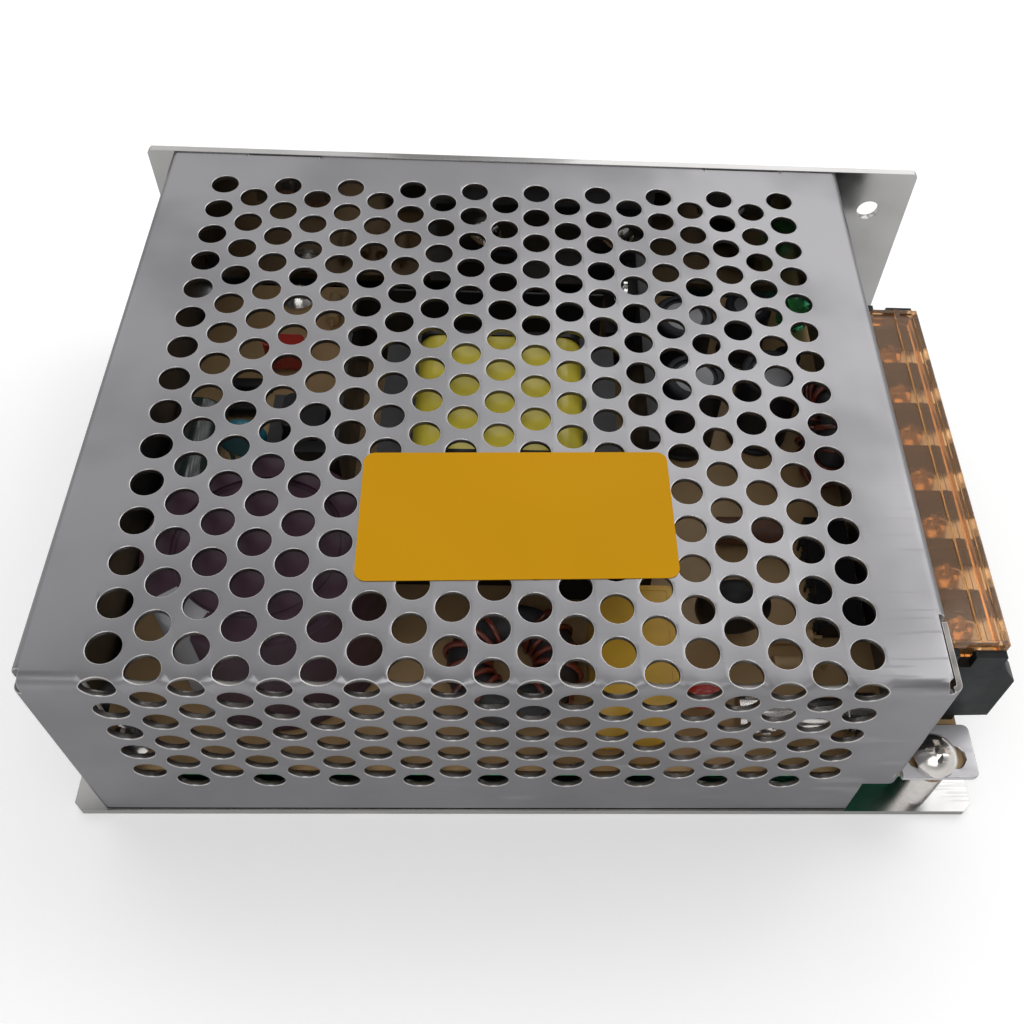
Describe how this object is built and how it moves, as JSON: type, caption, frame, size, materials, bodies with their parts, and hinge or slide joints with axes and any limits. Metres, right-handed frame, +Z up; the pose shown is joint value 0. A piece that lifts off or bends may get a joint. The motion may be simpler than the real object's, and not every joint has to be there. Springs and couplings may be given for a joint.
{
  "type": "mesh case switching power supply",
  "caption": "Chassis-mount switching power supply: L-shaped metal chassis, folded perforated cover, board with parts inside, screw terminal block under a hinged amber cover.",
  "frame": {"origin": "centre of the case's footprint, on the underside of the chassis", "axes": "+X towards the terminals, +Y towards the back wall, +Z up"},
  "size_m": [0.129, 0.098, 0.04],
  "materials": {
    "chassis_sheet": "polished, faintly brushed",
    "cover_sheet": "satin",
    "label_film": "plain yellow film",
    "plated_steel": "bright nickel plate",
    "black_film": "smooth film",
    "board": "bare paper laminate, green under",
    "block_plastic": "moulded, slightly rough",
    "amber_plastic": "see-through amber, glossy",
    "glass_tube": "clear",
    "black_part": "moulded",
    "red_part": "dipped coating",
    "blue_part": "dipped coating",
    "yellow_box": "moulded box",
    "yellow_tape": "polyester tape",
    "ferrite": "ground ferrite",
    "copper_wire": "enamelled",
    "plum_sleeve": "shrunk sleeve",
    "black_sleeve": "shrunk sleeve, bare top",
    "grey_sleeve": "shrunk sleeve",
    "grey_pad": "silicone sheet",
    "clamp_metal": "plain",
    "resistor_coat": "tan coating",
    "brown_coat": "brown coating",
    "led_lens": "tinted clear",
    "trimmer_blue": "moulded",
    "trimmer_white": "moulded"
  },
  "bodies": {
    "supply": {"chassis": "chassis_sheet", "mesh_cover": "cover_sheet", "cover_label": "label_film", "tab_screw": "plated_steel", "rear_cover_screws": "plated_steel", "board_standoffs": "plated_steel", "board_screws": "plated_steel", "insulation_sheet": "black_film", "circuit_board": "board", "terminal_block": "block_plastic", "terminal_plates": "plated_steel", "terminal_screws": "plated_steel", "fuse_clips": "plated_steel", "fuse": "glass_tube", "thermistor": "black_part", "varistor": "red_part", "x_capacitor": "yellow_box", "line_filter_core": "ferrite", "line_filter_windings": "copper_wire", "bridge_rectifier": "black_part", "bulk_capacitor": "plum_sleeve", "main_transformer_core": "ferrite", "main_transformer_bobbin": "black_part", "main_transformer_winding": "yellow_tape", "driver_transformer_core": "ferrite", "driver_transformer_winding": "black_part", "power_transistor_1": "black_part", "power_transistor_2": "black_part", "insulating_pad": "grey_pad", "clamp_bar": "clamp_metal", "clamp_screws": "plated_steel", "heatsink": "clamp_metal", "output_rectifier": "black_part", "rectifier_screw": "plated_steel", "output_inductor_core": "ferrite", "output_inductor_winding": "copper_wire", "output_capacitor_1": "black_sleeve", "output_capacitor_2": "black_sleeve", "output_capacitor_3": "black_sleeve", "output_capacitor_4": "black_sleeve", "supply_capacitor": "grey_sleeve", "film_capacitor": "red_part", "y_capacitor_1": "blue_part", "y_capacitor_2": "blue_part", "control_chip": "black_part", "signal_transistor": "black_part", "signal_resistors": "resistor_coat", "load_resistor": "brown_coat", "signal_diodes": "black_part", "status_led": "led_lens", "trimmer_body": "trimmer_blue"},
    "terminal_cover": {"terminal_cover": "amber_plastic"},
    "trimmer_rotor": {"trimmer_rotor": "trimmer_white"}
  },
  "joints": [
    {"name": "terminal_cover_hinge", "type": "hinge", "parent": "supply", "child": "terminal_cover", "pos_m": [0.0528, -0.00735, 0.0298], "axis": [0, -1, 0], "range_deg": [0, 90]},
    {"name": "trimmer_turn", "type": "hinge", "parent": "supply", "child": "trimmer_rotor", "pos_m": [0.055, 0.031, 0.017], "axis": [0, 0, 1], "range_deg": [-135, 135]}
  ]
}
